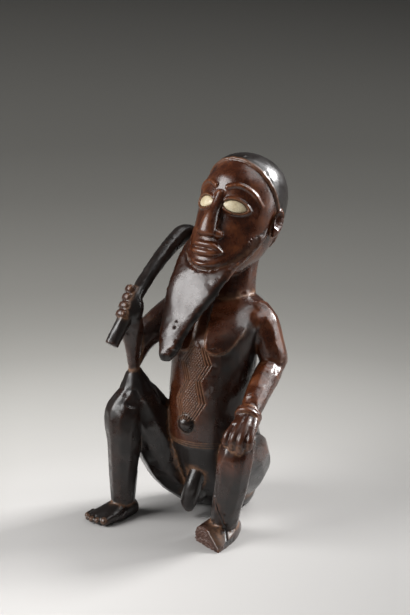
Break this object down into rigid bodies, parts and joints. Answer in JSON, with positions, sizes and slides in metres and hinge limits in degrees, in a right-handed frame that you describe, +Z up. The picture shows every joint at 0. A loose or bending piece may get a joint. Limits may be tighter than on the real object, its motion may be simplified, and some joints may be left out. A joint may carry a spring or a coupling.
{
  "type": "seated ancestor figure",
  "caption": "Carved wooden statuette of a bearded man seated with knees drawn up, head thrown back, a curved fly whisk held over the shoulder, and inlaid almond eyes.",
  "frame": {"origin": "on the ground, under the middle of the outline seen from above", "axes": "+Z up; the figure faces -Y and its own left is +X"},
  "size_m": [0.0976, 0.1164, 0.1938],
  "materials": {
    "wood": "dark red-brown to black patina, worn to a gloss",
    "inlay": "cream ceramic or bone, satin, finely crazed"
  },
  "bodies": {
    "root": {"figure": "wood", "left_eye": "inlay", "right_eye": "inlay"}
  },
  "joints": []
}
